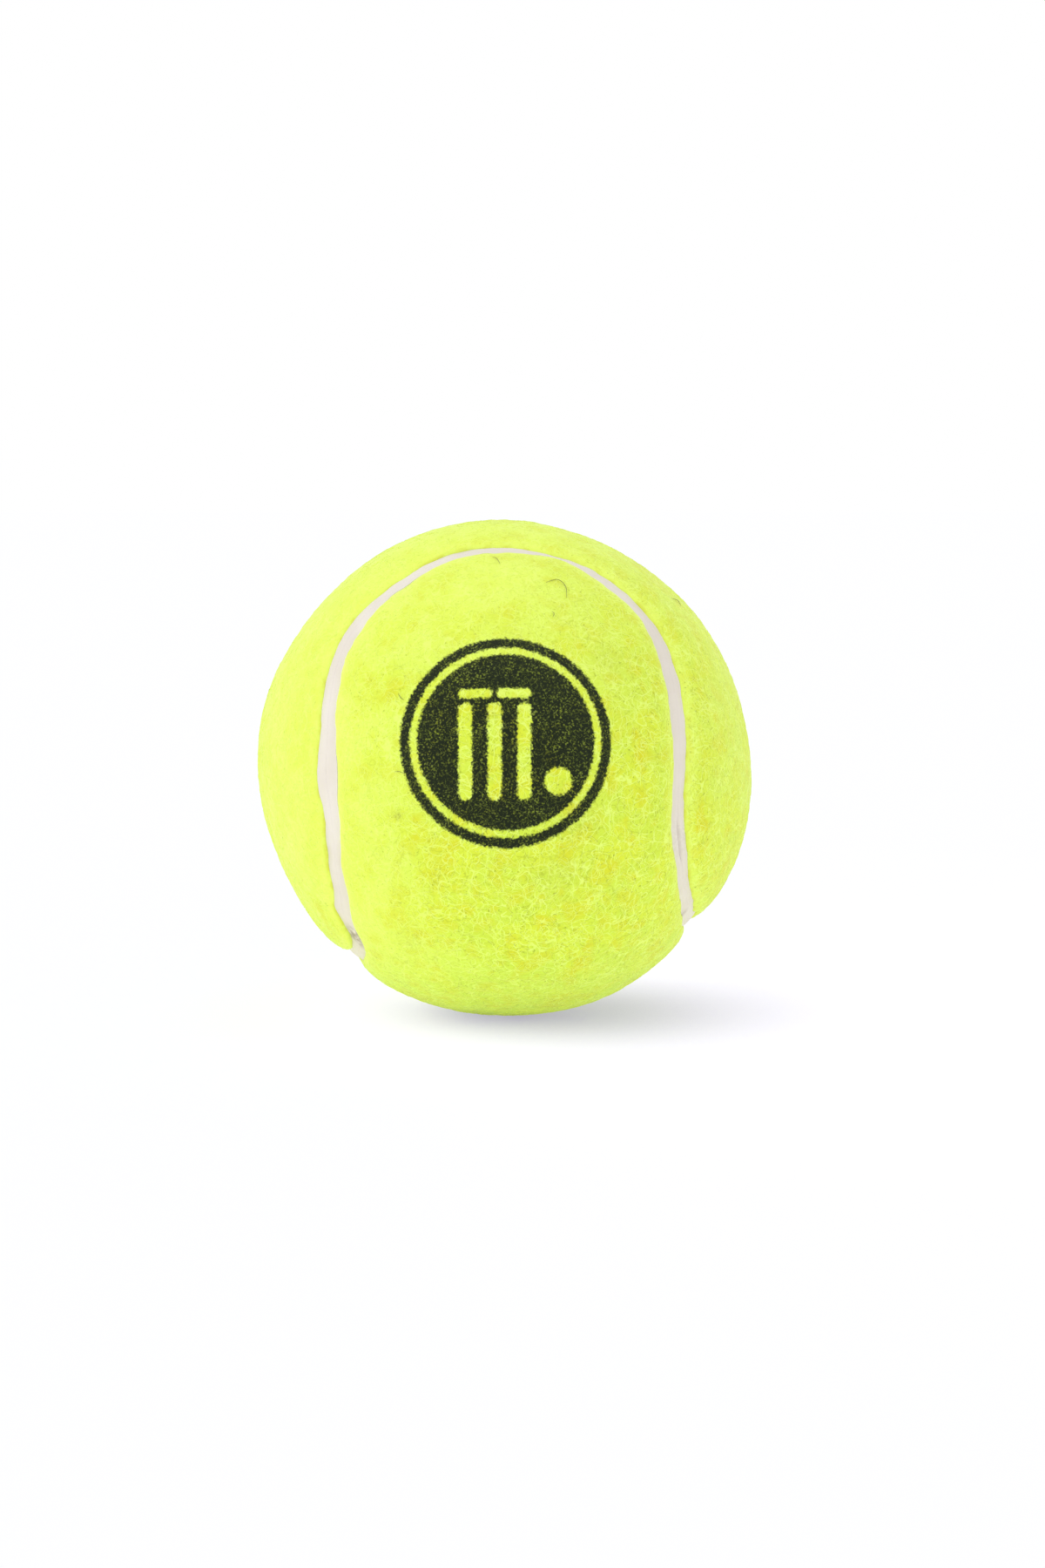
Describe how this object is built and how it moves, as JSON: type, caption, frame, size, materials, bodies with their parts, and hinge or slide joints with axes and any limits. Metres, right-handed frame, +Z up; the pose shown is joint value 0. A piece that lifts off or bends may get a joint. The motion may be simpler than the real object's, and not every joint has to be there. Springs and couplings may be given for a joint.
{
  "type": "tennis cricket ball",
  "caption": "Felt-covered hollow rubber ball with two interlocking dog-bone felt panels and a sunk white rubber seam, for soft-ball cricket.",
  "frame": {"origin": "centre of the ball", "axes": "+Z up as the ball lies in the picture, +X to the right and +Y away from the viewer; the front lobe of the lower panel faces -Y"},
  "size_m": [0.066, 0.066, 0.0658],
  "materials": {
    "felt": "needle felt with a short curly nap, fluorescent yellow",
    "seam_rubber": "smooth matt vulcanised rubber, pinkish white",
    "rubber_cement": "dried rubber cement, pale cream",
    "core_rubber": "moulded rubber, dark grey, buffed outside"
  },
  "bodies": {
    "root": {"core_shell_upper": "core_rubber", "core_shell_lower": "core_rubber", "core_rim_cement": "rubber_cement", "panel_cement_lower": "rubber_cement", "panel_cement_upper": "rubber_cement", "felt_panel_lower": "felt", "felt_panel_upper": "felt", "edge_coat_lower": "seam_rubber", "edge_coat_upper": "seam_rubber"}
  },
  "joints": []
}
